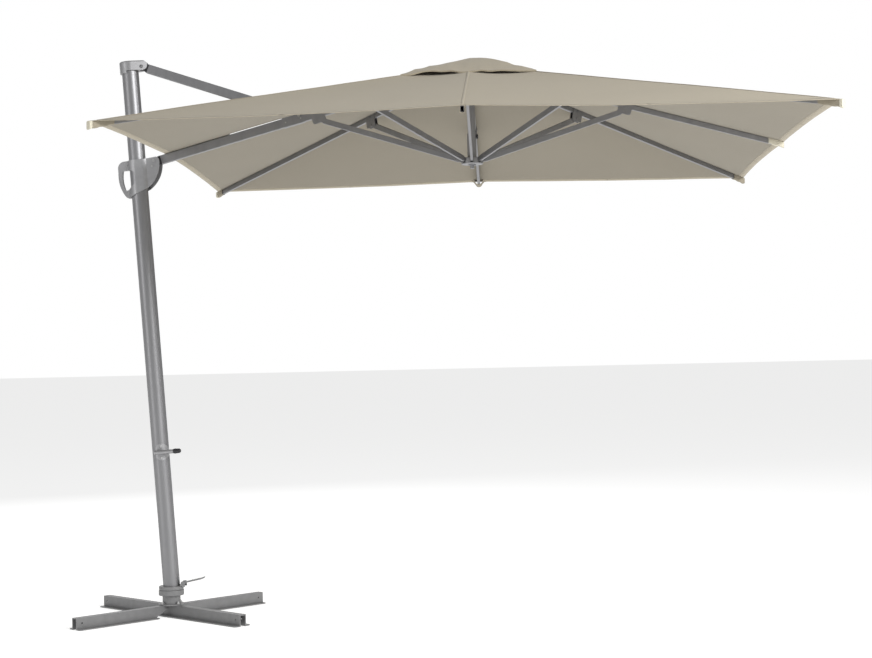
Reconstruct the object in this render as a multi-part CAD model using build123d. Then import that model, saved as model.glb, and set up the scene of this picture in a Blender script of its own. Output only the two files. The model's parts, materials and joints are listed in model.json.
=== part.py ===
from build123d import *
import os
from math import atan2, cos, degrees, hypot, radians, sin

# Cantilever parasol, open and standing. Origin: centre of the base cross on the floor.
# +X runs from the mast towards the middle of the canopy, +Z up. Millimetres and degrees.

# Canopy
canopy_side = 3000.0
canopy_centre_x = 1511.0
corner_height = 2210.0  # fabric at the four corners
middle_rise = 20.0  # fabric at the middle of a side, above the corners
fabric_over_rib = 15.0  # from a rib's centreline up to the fabric's underside
fabric_over_arm = 25.2
fabric_thick = 1.0
edge_scallop = 18.0  # how far the hem curves in between two tips
vent_opening = 165.0  # from the pole to the edge of the hole under the vent cap
vent_half_side = 318.0
vent_lift = 26.0  # rim of the vent cap above the canopy
vent_crown = 34.0  # top of the vent cap above the canopy's own apex
tie_slit_width = 44.0

# Crown, pole and lower hub
crown_height = 2618.0  # pivots of the ribs
crown_radius = 50.0
crown_thick = 28.0
ring_radius = 40.0  # pivots of ribs and of stretchers, both from the pole's axis
ring_pin_length = 20.0
hub_radius = 52.0
hub_thick = 26.0
dish_thick = 6.0  # of the plate that closes the lower hub's slots underneath
pole_radius = 18.5
pole_wall = 2.0
pole_below_hub = 10.0
pole_tip_radius = 10.0
pole_tip_length = 16.0
sleeve_wall = 3.2
sleeve_length = 118.0
latch_share = 0.88  # of the sleeve's length, up to the knob
latch_radius = 4.0
latch_head_radius = 11.0
latch_head_thick = 8.0
latch_head_gap = 1.0
running_gap = 0.4  # between surfaces that slide past each other

# Ribs and stretchers
rib_width = 15.0
rib_height = 25.0
rib_wall = 1.3
rib_tip_inset = 8.0  # rib end short of the fabric's tip
stretcher_width = 13.0
stretcher_height = 27.0
stretcher_eye_radius = 9.0
stretcher_wall = 1.3
stretcher_foot = 740.0  # stretcher pivot from the pole's axis, ribs at the middles
corner_stretcher_foot = 741.0
corner_pivot_drop = 38.0  # stretcher pivot under a corner rib's centreline
middle_pivot_drop = 26.2
clamp_length = 66.0
clamp_sheet = 2.5
rivet_radius = 3.0
rivet_head_radius = 6.0
pivot_clearance = 0.05

# Mast
mast_lean = 3.53  # away from the canopy
mast_foot_x = 10.7
mast_radius = 40.5
mast_wall = 2.6
mast_top = 2668.0  # along the mast, from the floor
rail_width = 9.0
rail_depth = 5.0
flute_radius = 3.0

# Mast head and the arms' pivots, in the mast's own frame
head_pin_x = 62.0
head_pin_over_top = 13.0
head_height = 44.0
head_back = 52.0
head_nose = 89.0
head_nose_half_width = 21.0
head_slot = 25.0
ear_thick = 8.0
pin_radius = 4.0
carriage_pin_x = 86.0
carriage_pin_height = 2216.0

# Tie arm and lower arm
tie_height = 44.0
tie_width = 24.0
tie_wall = 2.0
tie_over_pins = 0.5  # tie centreline above the line through its pins
arm_height = 44.0
arm_width = 24.0
arm_wall = 2.2
arm_over_carriage_pin = -3.0
tie_pin_reach = 741.0  # along the arm from the carriage pin
tie_pin_over_arm = 15.0
arm_sleeve_length = 104.0
arm_sleeve_wall = 2.5
fork_sheet = 4.0

# Carriage on the mast
carriage_wall = 4.0
carriage_mast_gap = 2.0
carriage_float = 27.0  # room ahead of the mast that the folding linkage needs
carriage_plate_gap = 72.0  # between the two shells beside the arm
grip_half_thick = 14.0

# Base
leg_reach = 553.5
leg_turn = 47.5
leg_height = 55.5
leg_top_width = 37.0
leg_flange = 29.0
leg_sheet = 5.0
leg_hole_radius = 4.3
leg_hole_inset = 30.0
leg_end_cut = 92.0  # how far the slanted inner end of a shorter leg runs back along the floor
foot_plate_radius = 64.0
foot_plate_thick = 6.0
bolt_ring_inset = 10.5
base_tube_radius = 43.5
base_tube_wall = 6.0
lower_ring_radius = 61.0
lower_ring_thick = 26.0
lower_ring_height = 102.0  # underside
collar_thick = 18.5
swivel_gap = 0.4
spigot_radius = 28.0
spigot_clearance = 0.06

# Turning handle and foot pedal
handle_height = 800.0
handle_plate_width = 58.0
handle_plate_height = 82.0
handle_bar_radius = 10.0
handle_bar_left = -21.0
handle_bar_right = 74.0
handle_knob_length = 37.0
pedal_length = 118.0
pedal_width = 46.0
pedal_slope = 12.0
pedal_pin_x = 62.0
pedal_pin_height = 161.0

# ---- positions worked out from the values above ----
half_side = canopy_side / 2
mast_place = Location((mast_foot_x, 0, 0), (0, -mast_lean, 0))


def on_mast(x, height):
    """A point of the mast's own frame as x and z of the parasol's frame."""
    a = radians(mast_lean)
    return (mast_foot_x + x * cos(a) - height * sin(a), x * sin(a) + height * cos(a))


def unit(start, end):
    run, rise = end[0] - start[0], end[1] - start[1]
    length = hypot(run, rise)
    return run / length, rise / length


def along(start, direction, distance, offset=0.0):
    """A point distance along a direction, and offset to its left, in one plane."""
    return (
        start[0] + direction[0] * distance - direction[1] * offset,
        start[1] + direction[1] * distance + direction[0] * offset,
    )


head_pin = on_mast(head_pin_x, mast_top + head_pin_over_top)
carriage_pin = on_mast(carriage_pin_x, carriage_pin_height)
arm_crown_pin = (canopy_centre_x - ring_radius, crown_height)
arm_start = along(carriage_pin, unit(carriage_pin, arm_crown_pin), 0, arm_over_carriage_pin)
arm_dir = unit(arm_start, arm_crown_pin)
tie_pin = along(arm_start, arm_dir, tie_pin_reach, tie_pin_over_arm)
tie_dir = unit(head_pin, tie_pin)
hub_height = crown_height - 2 * (
    (stretcher_foot - ring_radius)
    * (crown_height - (corner_height + middle_rise - fabric_over_rib))
    / (half_side - rib_tip_inset - ring_radius)
    + middle_pivot_drop
)

# Azimuth, distance of the tip from the pole and height of the fabric there, for each rib.
corner_reach = half_side * 2**0.5
ribs = {
    "right": (0, half_side, corner_height + middle_rise),
    "back_right": (45, corner_reach, corner_height),
    "back": (90, half_side, corner_height + middle_rise),
    "back_left": (135, corner_reach, corner_height),
    "front_left": (225, corner_reach, corner_height),
    "front": (270, half_side, corner_height + middle_rise),
    "front_right": (315, corner_reach, corner_height),
}


def side_plane(azimuth):
    """The upright plane through the pole: local x outwards, local y up."""
    a = radians(azimuth)
    return Plane(
        origin=(canopy_centre_x, 0, 0), x_dir=(cos(a), sin(a), 0), z_dir=(sin(a), -cos(a), 0)
    )


row_plane = Plane.XZ  # local x is +X, local y is +Z


def bar(plane, start, end, height, width, wall=0.0, radius=2.0, groove=0.0):
    """A straight bar or tube between two points of a plane, its width across the plane."""
    a, b = plane.from_local_coords((*start, 0)), plane.from_local_coords((*end, 0))
    section = RectangleRounded(width, height, radius)
    if groove:
        for side in (-1, 1):
            for level in (-0.16, 0.16):
                section -= Pos(side * width / 2, level * height) * Rectangle(2 * groove, 1.6)
    if wall:
        inner = max(radius - wall, 0.4)
        section -= RectangleRounded(width - 2 * wall, height - 2 * wall, inner)
    across = Plane(origin=a, x_dir=plane.z_dir, z_dir=b - a)
    return extrude(across * section, amount=(b - a).length)


def plate(plane, outline, thick, offset=0.0):
    """A flat piece cut to an outline in a plane, centred at an offset across it."""
    return extrude(plane.offset(offset) * outline, amount=thick / 2, both=True)


def rod(plane, point, radius, length, offset=0.0):
    """A round pin across a plane."""
    return plate(plane, Pos(*point) * Circle(radius), length, offset)


def slab(start, end, height):
    """A rectangle that lies along the line between two points."""
    length = hypot(end[0] - start[0], end[1] - start[1])
    angle = degrees(atan2(end[1] - start[1], end[0] - start[0]))
    middle = ((start[0] + end[0]) / 2, (start[1] + end[1]) / 2)
    return Pos(*middle) * Rot(0, 0, angle) * Rectangle(length, height)


def pivot_head(plane, point, shank_radius, half_width, head_radius):
    """A pin across a plane with a domed head at each end."""
    pin = rod(plane, point, shank_radius, 2 * half_width)
    for side in (-1, 1):
        pin += rod(plane, point, head_radius, 2.0, side * (half_width + 1.0))
        pin += rod(plane, point, head_radius * 0.62, 1.2, side * (half_width + 2.6))
    return pin


# ---- base ----
leg_foot = leg_top_width / 2 + leg_flange  # half the width of a leg on the floor
bolt_radius = 5.0
bolt_hole_radius = 5.2


def hat_bar(start, end):
    """A length of the legs' hat section along X, flanges on the floor, outer end rounded."""
    outer, foot = leg_top_width / 2, leg_foot
    section = Plane.YZ.offset(start) * (
        Polygon(
            (-foot, 0), (-outer + leg_sheet, 0), (-outer + leg_sheet, leg_height - leg_sheet),
            (outer - leg_sheet, leg_height - leg_sheet), (outer - leg_sheet, 0), (foot, 0),
            (foot, leg_sheet), (outer, leg_sheet), (outer, leg_height),
            (-outer, leg_height), (-outer, leg_sheet), (-foot, leg_sheet),
            align=None,
        )
    )
    body = extrude(section, amount=end - start)
    ends = [
        e
        for e in body.edges().filter_by(Axis.Z)
        if abs(e.center().X) > leg_reach - 1 and abs(e.center().Y) > foot - 1
    ]
    body = fillet(ends, leg_flange * 0.45)
    for reach in (-leg_reach, leg_reach):
        hole = (reach - leg_hole_inset * reach / leg_reach, leg_height * 0.55)
        body -= rod(Plane.XZ, hole, leg_hole_radius, 4 * foot)
    for side in (-1, 1):
        bolt = Pos(side * (foot_plate_radius - bolt_ring_inset), 0, leg_height)
        body -= bolt * Cylinder(bolt_hole_radius, 4 * leg_sheet)
    return body


def long_bar():
    """The bar that makes two of the four legs in one piece."""
    return Rot(0, 0, leg_turn + 90) * hat_bar(-leg_reach, leg_reach)


def leg(angle):
    """One of the two shorter legs: its inner end slants down and away from the long bar's wall."""
    wall = leg_top_width / 2
    body = hat_bar(wall, leg_reach)
    notch = Polygon(
        (wall, leg_height - leg_sheet), (wall, 0), (wall + leg_end_cut, 0), align=None
    )
    return Rot(0, 0, angle) * (body - plate(Plane.XZ, notch, 4 * leg_foot))


def bolt_places():
    reach = foot_plate_radius - bolt_ring_inset
    return [Rot(0, 0, leg_turn + 90 * n) * Pos(reach, 0) for n in range(4)]


def foot_plate():
    body = Pos(0, 0, leg_height) * extrude(Circle(foot_plate_radius), amount=foot_plate_thick)
    for place in bolt_places():
        body -= Pos(0, 0, leg_height) * place * Cylinder(bolt_hole_radius, 4 * foot_plate_thick)
    return body


def base_bolts():
    """Four bolts through the foot plate and the legs, with a nut on top and a head under the leg."""
    bolts = []
    low, high = leg_height - leg_sheet, leg_height + foot_plate_thick
    for place in bolt_places():
        shank = Pos(0, 0, low) * extrude(Circle(bolt_radius), amount=high - low + 11.5)
        nut = Pos(0, 0, high) * extrude(RegularPolygon(9.0, 6), amount=6.5)
        head = Pos(0, 0, low - 6.0) * extrude(RegularPolygon(9.0, 6), amount=6.0)
        bolts.append(place * (shank + nut + head))
    return Compound(bolts)


spigot_low = leg_height + foot_plate_thick + 12.0
collar_low = lower_ring_height + lower_ring_thick + swivel_gap
collar_high = collar_low + collar_thick
mast_bottom = collar_low + 5.0  # along the mast


def base_tube():
    low = leg_height + foot_plate_thick
    section = Circle(base_tube_radius) - Circle(base_tube_radius - base_tube_wall)
    return Pos(0, 0, low) * extrude(section, amount=lower_ring_height - low)


def lower_ring():
    bore = spigot_radius + 6.0
    ring = Cylinder(lower_ring_radius, lower_ring_thick) - Cylinder(bore, 2 * lower_ring_thick)
    ring = fillet(ring.edges().filter_by(GeomType.CIRCLE).filter_by(
        lambda e: e.radius > bore + 1), 3.0)
    return Pos(0, 0, lower_ring_height + lower_ring_thick / 2) * ring


def swivel_bush():
    """Plastic bush between the base tube and the mast's spigot."""
    high = lower_ring_height + lower_ring_thick
    bore = spigot_radius + spigot_clearance
    lower = Circle(base_tube_radius - base_tube_wall) - Circle(bore)
    upper = Circle(spigot_radius + 6.0) - Circle(bore)
    body = Pos(0, 0, spigot_low) * extrude(lower, amount=lower_ring_height - spigot_low)
    return body + Pos(0, 0, lower_ring_height) * extrude(upper, amount=high - lower_ring_height)


# ---- mast ----
def mast_section():
    section = Circle(mast_radius) - Circle(mast_radius - mast_wall)
    for angle in (38, -38, 142, -142):
        a = radians(angle)
        section -= Pos(mast_radius * cos(a) * 1.035, mast_radius * sin(a) * 1.035) * Circle(flute_radius)
    channel = Pos(mast_radius - rail_depth / 2, 0)
    section += (channel * Rectangle(rail_depth + 2 * mast_wall, rail_width + 2 * mast_wall)) & Circle(
        mast_radius
    )
    return section - Pos(mast_radius, 0) * Rectangle(2 * rail_depth, rail_width)


def mast_tube():
    return mast_place * Pos(0, 0, mast_bottom) * extrude(mast_section(), amount=mast_top - mast_bottom)


def mast_rail():
    """Black strip that fills the channel on the canopy side."""
    width = rail_width - 2 * running_gap
    strip = Pos(mast_radius - rail_depth / 2, 0) * Rectangle(rail_depth, width)
    strip = strip & Circle(mast_radius - 0.3)
    length = mast_top - collar_high - 18.0
    return mast_place * Pos(0, 0, collar_high + 6.0) * extrude(strip, amount=length)


def mast_cylinder(radius, low, high):
    return mast_place * Pos(0, 0, (low + high) / 2) * Cylinder(radius, high - low)


def swivel_foot():
    """Collar around the mast's foot, in one casting with the spigot that turns in the base."""
    body = Pos(0, 0, (collar_low + collar_high) / 2) * Cylinder(lower_ring_radius - 1.5, collar_thick)
    body = fillet(body.edges().group_by(Axis.Z)[-1], 4.0)
    body = fillet(body.edges().group_by(Axis.Z)[0], 2.5)
    height = collar_low - spigot_low
    spigot = Pos(0, 0, spigot_low + height / 2) * Cylinder(spigot_radius, height)
    return body + spigot - mast_cylinder(mast_radius, mast_bottom, 2 * collar_high)


def pedal_bracket():
    """Two ears on the collar, with the pin that carries the pedal."""
    ears = []
    outline = Polygon(
        (pedal_pin_x - 15, collar_high), (pedal_pin_x - 8, collar_high + 21),
        (pedal_pin_x + 8, collar_high + 21), (pedal_pin_x + 10, collar_high - 4),
        (lower_ring_radius - 1.5, collar_high - 4), (lower_ring_radius - 6, collar_high), align=None,
    )
    for side in (-1, 1):
        ear = plate(row_plane, outline, 5.0, side * (pedal_width / 2 + 3.2))
        ears.append(ear - rod(row_plane, (pedal_pin_x, pedal_pin_height), 4.0, 3 * pedal_width))
    bridge = Pos(pedal_pin_x - 9.0, 0, collar_high + 3.0) * Box(9.0, pedal_width + 1.4, 6.0)
    body = ears[0] + ears[1] + bridge
    body -= mast_cylinder(mast_radius + 0.2, mast_bottom, 3 * collar_high)
    pin = rod(row_plane, (pedal_pin_x, pedal_pin_height), 4.0, pedal_width + 11.4)
    return Compound([body, pin])


def pedal_lever():
    """Bent steel foot lever, turned up a little towards its end."""
    a = radians(pedal_slope)
    direction = (cos(a), sin(a))
    start = (pedal_pin_x, pedal_pin_height)
    end = along(start, direction, pedal_length - 30)
    tread = slab(start, end, 5.0)
    tip = slab(end, along(end, (cos(a + 0.14), sin(a + 0.14)), 16), 5.0)
    body = plate(row_plane, tread, pedal_width - 2) + plate(row_plane, tip, pedal_width - 2)
    for n in range(3):
        ridge = along(start, direction, pedal_length * (0.35 + 0.13 * n), 2.5)
        body += rod(row_plane, ridge, 1.6, pedal_width - 10)
    body += rod(row_plane, start, 8.5, pedal_width)
    return body - rod(row_plane, start, 4.0 + pivot_clearance, 2 * pedal_width)


head_low = mast_top - 3.0
head_high = head_low + head_height + 3.0
ear_outer = head_slot / 2 + ear_thick


def mast_head():
    """Cast cap on the mast that narrows to a slotted nose with the tie arm's pin."""
    back, deep = head_back - 3.0, 12.0
    low, high = head_low - deep, head_high
    nose = Polyline((head_nose, -head_nose_half_width), (head_nose, head_nose_half_width))
    plan = make_hull(Circle(back).edges() + nose.edges())
    body = Pos(0, 0, low) * extrude(plan, amount=high - low)
    body = fillet(body.edges().group_by(Axis.Z)[-1], 7.0)
    middle = (head_low + high) / 2
    round_end = head_nose - head_height / 2
    side = Pos(round_end - 200, middle) * Rectangle(400, 400)
    side += Pos(round_end, middle) * Circle(head_height / 2 + 1)
    body &= extrude(Plane.XZ * side, amount=200, both=True)
    low_cut = Pos(0, 0, head_low - 50) * Box(6 * head_back, 4 * head_back, 100)
    body -= low_cut - Pos(-head_back - 8, 0, head_low - 50) * Box(2 * head_back, 4 * head_back, 100)
    slot_start = head_pin_x - 11.5
    body -= Pos(slot_start + 100, 0, middle) * Box(200, head_slot, 200)
    body -= Pos(0, 0, mast_top - 50) * (
        Cylinder(mast_radius, 100) - Cylinder(mast_radius - mast_wall - 5.0, 100)
    )
    body += Pos(0, 0, mast_top - 30) * Cylinder(mast_radius - mast_wall - 5.0, 60)
    pin_place = (head_pin_x, mast_top + head_pin_over_top)
    body -= rod(Plane.XZ, pin_place, pin_radius, 200)
    for way in (-1, 1):
        body -= rod(Plane.XZ, pin_place, 9.0, 60, way * (ear_outer + 30))
    return mast_place * body


def head_pin_piece():
    return pivot_head(row_plane, head_pin, pin_radius, ear_outer, 8.0)


def handle_plate():
    """Oval plate that follows the mast's round face."""
    outline = Pos(12, handle_height) * SlotOverall(handle_plate_height, handle_plate_width, rotation=90)
    reach = extrude(Plane.XZ * outline, amount=mast_radius + 5.0)
    shell = Pos(0, 0, handle_height) * (
        Cylinder(mast_radius + 4.2, 2 * handle_plate_height) - Cylinder(mast_radius + 0.1, 4 * handle_height)
    )
    return mast_place * (reach & shell)


def handle_bar():
    depth = mast_radius + 4.2
    post = Plane.XZ.offset(depth - 4.0) * Pos(12, handle_height) * Circle(13)
    body = extrude(post, amount=22)
    body -= Pos(0, 0, handle_height) * Cylinder(mast_radius + 4.2, 200)
    run = handle_bar_right - handle_bar_left
    rail = Pos(handle_bar_left + run / 2, -(depth + 18.0), handle_height) * Rot(0, 90, 0) * Cylinder(
        handle_bar_radius, run
    )
    rail = fillet(rail.edges().group_by(Axis.X)[0], 5.0)
    return mast_place * (body + rail)


def handle_knob():
    depth = mast_radius + 22.2
    profile = Polygon(
        (0, 0), (0, 10.5), (8, 12.5), (handle_knob_length - 6, 11.0), (handle_knob_length, 6.0),
        (handle_knob_length, 0), align=None,
    )
    knob = revolve(profile, Axis.X)
    return mast_place * Pos(handle_bar_right, -depth, handle_height) * knob


def handle_screws():
    """Two domed screw heads, above and under the handle's post."""
    screws = []
    for side in (-1, 1):
        level = handle_height + side * handle_plate_height * 0.34
        head = extrude(Plane.XZ * Pos(12, level) * Circle(6.0), amount=mast_radius + 7.0)
        screws.append(mast_place * (head - Pos(0, 0, level) * Cylinder(mast_radius + 4.2, 60)))
    return Compound(screws)


# ---- tie arm ----
def tie_point(distance, offset=0.0):
    return along(head_pin, tie_dir, distance, offset)


tie_length = hypot(tie_pin[0] - head_pin[0], tie_pin[1] - head_pin[1])
tie_tube_start = 30.0
tie_fork_length = 100.0
tie_tube_end = tie_length - tie_fork_length


def tie_tube():
    return bar(
        row_plane, tie_point(tie_tube_start, tie_over_pins), tie_point(tie_tube_end, tie_over_pins),
        tie_height, tie_width, tie_wall, 3.0,
    )


def lug(centre, radius, start, end, height):
    """Outline of an eye that runs into a bar's end."""
    corners = [along(start, unit(start, end), 0, s * height / 2) for s in (-1, 1)]
    return make_hull((Pos(*centre) * Circle(radius)).edges() + Polyline(*corners).edges())


def tie_head_plug():
    start = tie_point(tie_tube_start, tie_over_pins)
    end = tie_point(tie_tube_start + 40, tie_over_pins)
    eye = plate(row_plane, lug(head_pin, 9.0, start, end, tie_height), tie_width - 2 * running_gap)
    inner = bar(
        row_plane, start, end, tie_height - 2 * tie_wall - 0.2, tie_width - 2 * tie_wall - 0.2, 0, 1.0
    )
    return eye + inner - rod(row_plane, head_pin, pin_radius + pivot_clearance, 60)


sleeve_width = arm_width + 2 * arm_sleeve_wall
sleeve_height = arm_height + 2 * arm_sleeve_wall
fork_offset = sleeve_width / 2 + running_gap + fork_sheet / 2


def tie_fork():
    """Two cheeks that straddle the arm's sleeve, joined by a block in the tie tube's end."""
    start = tie_point(tie_tube_end, tie_over_pins)
    back = tie_point(tie_tube_end - 60, tie_over_pins)
    outline = lug(tie_pin, 11.0, start, back, tie_height) + slab(start, back, tie_height)
    body = None
    for side in (-1, 1):
        cheek = plate(row_plane, outline, fork_sheet, side * fork_offset)
        body = cheek if body is None else body + cheek
    far = tie_point(tie_tube_end - 58, tie_over_pins)
    near = tie_point(tie_tube_end - 8, tie_over_pins)
    filler_width = fork_offset - fork_sheet / 2 - tie_width / 2
    for side in (-1, 1):
        middle = side * (tie_width / 2 + filler_width / 2)
        body += plate(row_plane, slab(far, near, tie_height - 6), filler_width, middle)
    return body - rod(row_plane, tie_pin, pin_radius, 80)


def tie_pin_piece():
    return pivot_head(row_plane, tie_pin, pin_radius, fork_offset + fork_sheet / 2, 7.0)


# ---- lower arm ----
def arm_point(distance, offset=0.0):
    return along(arm_start, arm_dir, distance, offset)


arm_length = hypot(arm_crown_pin[0] - arm_start[0], arm_crown_pin[1] - arm_start[1])
arm_tongue = 22.0
arm_block = 33.0
sleeve_mid = tie_pin_reach - 33.0
middle_pivot_height = (crown_height + hub_height) / 2
arm_foot_pin = (canopy_centre_x - stretcher_foot, middle_pivot_height)
arm_foot_reach = (arm_foot_pin[0] - arm_start[0]) * arm_dir[0] + (
    arm_foot_pin[1] - arm_start[1]
) * arm_dir[1]


def arm_tube():
    body = bar(
        row_plane, arm_point(arm_block), arm_point(arm_length - arm_tongue), arm_height, arm_width,
        arm_wall, 3.0,
    )
    body -= rod(row_plane, tie_pin, pin_radius + pivot_clearance, 60)
    for n in (-1, 1):
        body -= rod(row_plane, arm_point(sleeve_mid + n * 38), rivet_radius, 60)
    return body - rod(row_plane, arm_point(arm_foot_reach, 2), rivet_radius, 60)


def arm_end_block():
    """Black plastic end that turns on the carriage pin."""
    start, end = arm_point(arm_block), arm_point(arm_block + 34)
    eye = plate(row_plane, lug(carriage_pin, 15.0, start, end, arm_height), arm_width)
    inner = bar(
        row_plane, start, end, arm_height - 2 * arm_wall - 0.2, arm_width - 2 * arm_wall - 0.2, 0, 1.0
    )
    return eye + inner - rod(row_plane, carriage_pin, pin_radius + pivot_clearance, 60)


def arm_sleeve():
    """Reinforcing sleeve where the tie arm is pinned."""
    low, high = sleeve_mid - arm_sleeve_length / 2, sleeve_mid + arm_sleeve_length / 2
    body = bar(
        row_plane, arm_point(low), arm_point(high), sleeve_height, sleeve_width, arm_sleeve_wall, 4.0
    )
    body -= rod(row_plane, tie_pin, pin_radius + pivot_clearance, 60)
    for n in (-1, 1):
        body -= rod(row_plane, arm_point(sleeve_mid + n * 38), rivet_radius, 60)
    return body


def sleeve_rivets():
    rivets = []
    for n in (-1, 1):
        spot = arm_point(sleeve_mid + n * 38)
        rivets.append(rod(row_plane, spot, rivet_radius, sleeve_width))
    return Compound(rivets)


def arm_crown_tongue():
    start, end = arm_point(arm_length - arm_tongue), arm_point(arm_length - arm_tongue - 30)
    width = rib_width - 0.4
    radius = rib_height / 2 - 0.1
    eye = rod(row_plane, arm_crown_pin, radius, width)
    eye += plate(row_plane, slab(arm_crown_pin, start, 2 * radius), width)
    inner = bar(
        row_plane, start, end, arm_height - 2 * arm_wall - 0.2, arm_width - 2 * arm_wall - 0.2, 0, 1.0
    )
    return eye + inner - rod(row_plane, arm_crown_pin, rivet_radius + pivot_clearance, 60)


def clamp_cheeks(plane, upper, lower, direction, gap, top, bottom):
    """Two sheet cheeks of a bracket, with holes for its upper rivet and its pivot."""
    middle = ((top[0] + bottom[0]) / 2, (top[1] + bottom[1]) / 2)
    height = hypot(top[0] - bottom[0], top[1] - bottom[1])
    angle = degrees(atan2(direction[1], direction[0]))
    outline = Pos(*middle) * Rot(0, 0, angle) * RectangleRounded(clamp_length, height, 9.0)
    outline -= Pos(*upper) * Circle(rivet_radius)
    outline -= Pos(*lower) * Circle(rivet_radius)
    return [
        plate(plane, outline, clamp_sheet, side * (gap / 2 + clamp_sheet / 2)) for side in (-1, 1)
    ]


def arm_clamp():
    """Bracket under the arm that carries its stretcher."""
    upper = arm_point(arm_foot_reach, 2)
    run, rise = arm_foot_pin[0] - arm_start[0], arm_foot_pin[1] - arm_start[1]
    drop = rise * arm_dir[0] - run * arm_dir[1]
    top = arm_point(arm_foot_reach, arm_height / 2 - 2)
    bottom = arm_point(arm_foot_reach, drop - 13)
    cheeks = clamp_cheeks(row_plane, upper, arm_foot_pin, arm_dir, arm_width, top, bottom)
    half = arm_width / 2 + clamp_sheet
    rivets = [
        pivot_head(row_plane, point, rivet_radius, half, rivet_head_radius)
        for point in (upper, arm_foot_pin)
    ]
    return Compound([*cheeks, *rivets])


# ---- carriage ----
carriage_inner = mast_radius + carriage_mast_gap
carriage_low = carriage_pin_height - 173.0
carriage_high = carriage_pin_height + 29.0


def carriage_outline():
    """Leaf-shaped side view of the carriage, in the mast's frame."""
    h = carriage_pin_height
    edge = (
        Polyline((-70, h + 10), (-39, h + 12), (39, h + 12), (99, h + 18))
        + ThreePointArc((99, h + 18), (110, h + 12), (115, h))
        + ThreePointArc((115, h), (99, h - 73), (49, h - 130))
        + Polyline((49, h - 130), (-34, h - 165))
        + ThreePointArc((-34, h - 165), (-51, h - 171), (-66, h - 163))
        + ThreePointArc((-66, h - 163), (-90, h - 112), (-96, h - 60))
        + Polyline((-96, h - 60), (-95, h - 30))
        + ThreePointArc((-95, h - 30), (-87, h - 1), (-70, h + 10))
    )
    return make_face(edge.edges())


def grip_outline():
    """D-shaped hand opening."""
    h = carriage_pin_height
    edge = (
        Polyline((-66, h - 34), (-36, h - 35))
        + ThreePointArc((-36, h - 35), (-4, h - 66), (-24, h - 112))
        + Polyline((-24, h - 112), (-50, h - 129))
        + ThreePointArc((-50, h - 129), (-63, h - 131), (-70, h - 121))
        + ThreePointArc((-70, h - 121), (-77, h - 80), (-74, h - 42))
        + ThreePointArc((-74, h - 42), (-72, h - 36), (-66, h - 34))
    )
    return make_face(edge.edges())


def shell_section(grow):
    """Half plan of the carriage, near side: grip, round body and flat plate beside the arm."""
    reach = carriage_inner + grow
    flat = carriage_plate_gap / 2 + grow
    body = Pos(0, 0) * Circle(reach) + Pos(carriage_float, 0) * Circle(reach)
    body += Pos(carriage_float / 2, 0) * Rectangle(carriage_float, 2 * reach)
    body += Pos(80, 0) * Rectangle(160, 2 * flat)
    if grow:
        body += Pos(-80, 0) * Rectangle(160, 2 * grip_half_thick)
    return body


def carriage_shell(side):
    outer, inner = shell_section(carriage_wall), shell_section(0)
    half = Pos(0, side * 151) * Rectangle(600, 300)
    height = carriage_high - carriage_low
    solid = Pos(0, 0, carriage_low) * extrude((outer - inner) & half, amount=height)
    outline = extrude(Plane.XZ * carriage_outline(), amount=100, both=True)
    grip = extrude(Plane.XZ * grip_outline(), amount=100, both=True)
    solid = (solid & outline) - grip
    bores = [(carriage_pin_x, carriage_pin_height), *carriage_screw_points()]
    for point, radius in zip(bores, (pin_radius, 3.0, 3.0, 3.0)):
        solid -= rod(Plane.XZ, point, radius, 300)
    return mast_place * solid


def carriage_screw_points():
    h = carriage_pin_height
    return [(-54, h - 12), (-53, h - 146), (carriage_float + carriage_inner + 8, h - 26)]


def carriage_screws():
    """Screws that hold the two shells together: two in the grip, one with its spacer."""
    points = carriage_screw_points()
    screws = [
        pivot_head(Plane.XZ, points[0], 3.0, grip_half_thick, 5.5),
        pivot_head(Plane.XZ, points[1], 3.0, grip_half_thick, 5.5),
        pivot_head(Plane.XZ, points[2], 3.0, carriage_plate_gap / 2 + carriage_wall, 5.5),
    ]
    return mast_place * Compound(screws)


def carriage_spacers():
    """Tube between the two shells, and the rings that keep the arm in the middle of its pin."""
    spot = carriage_screw_points()[2]
    tube = rod(Plane.XZ, spot, 7.0, carriage_plate_gap) - rod(Plane.XZ, spot, 3.0, 200)
    rings = [mast_place * tube]
    length = carriage_plate_gap / 2 - arm_width / 2 - 2 * running_gap
    for side in (-1, 1):
        middle = side * (arm_width / 2 + running_gap + length / 2)
        ring = rod(row_plane, carriage_pin, 10.0, length, middle)
        rings.append(ring - rod(row_plane, carriage_pin, pin_radius, 100))
    return Compound(rings)


def carriage_pin_piece():
    return pivot_head(
        row_plane, carriage_pin, pin_radius, carriage_plate_gap / 2 + carriage_wall, 8.0
    )


# ---- crown, pole and lower hub ----
azimuths = [45 * n for n in range(8)]
middles = azimuths[::2]  # the ribs and the arm that run to the middle of a side


def slotted_disc(radius, thick, height, slot, slot_in, bore):
    disc = Cylinder(radius, thick) - Cylinder(bore, 3 * thick)
    disc = fillet(disc.edges().filter_by(GeomType.CIRCLE).filter_by(
        lambda e: e.radius > bore + 1), 2.0)
    body = Pos(canopy_centre_x, 0, height) * disc
    for azimuth in azimuths:
        cut = Pos(canopy_centre_x, 0, height) * Rot(0, 0, azimuth) * Pos(slot_in + 100, 0)
        body -= cut * Box(200, slot, 2 * thick)
    return body


def ring_pins(height, places):
    """Pivot pins in a hub's slots, each pressed into both sides of its slot."""
    return Compound([
        rod(side_plane(azimuth), (ring_radius, height), rivet_radius, ring_pin_length)
        for azimuth in places
    ])


def with_pin_holes(body, height, places):
    for azimuth in places:
        body -= rod(side_plane(azimuth), (ring_radius, height), rivet_radius, ring_pin_length)
    return body


def crown_hub():
    body = slotted_disc(
        crown_radius, crown_thick, crown_height, rib_width + 2 * running_gap,
        ring_radius - rib_height / 2 - 0.8, pole_radius,
    )
    return with_pin_holes(body, crown_height, azimuths)


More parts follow.
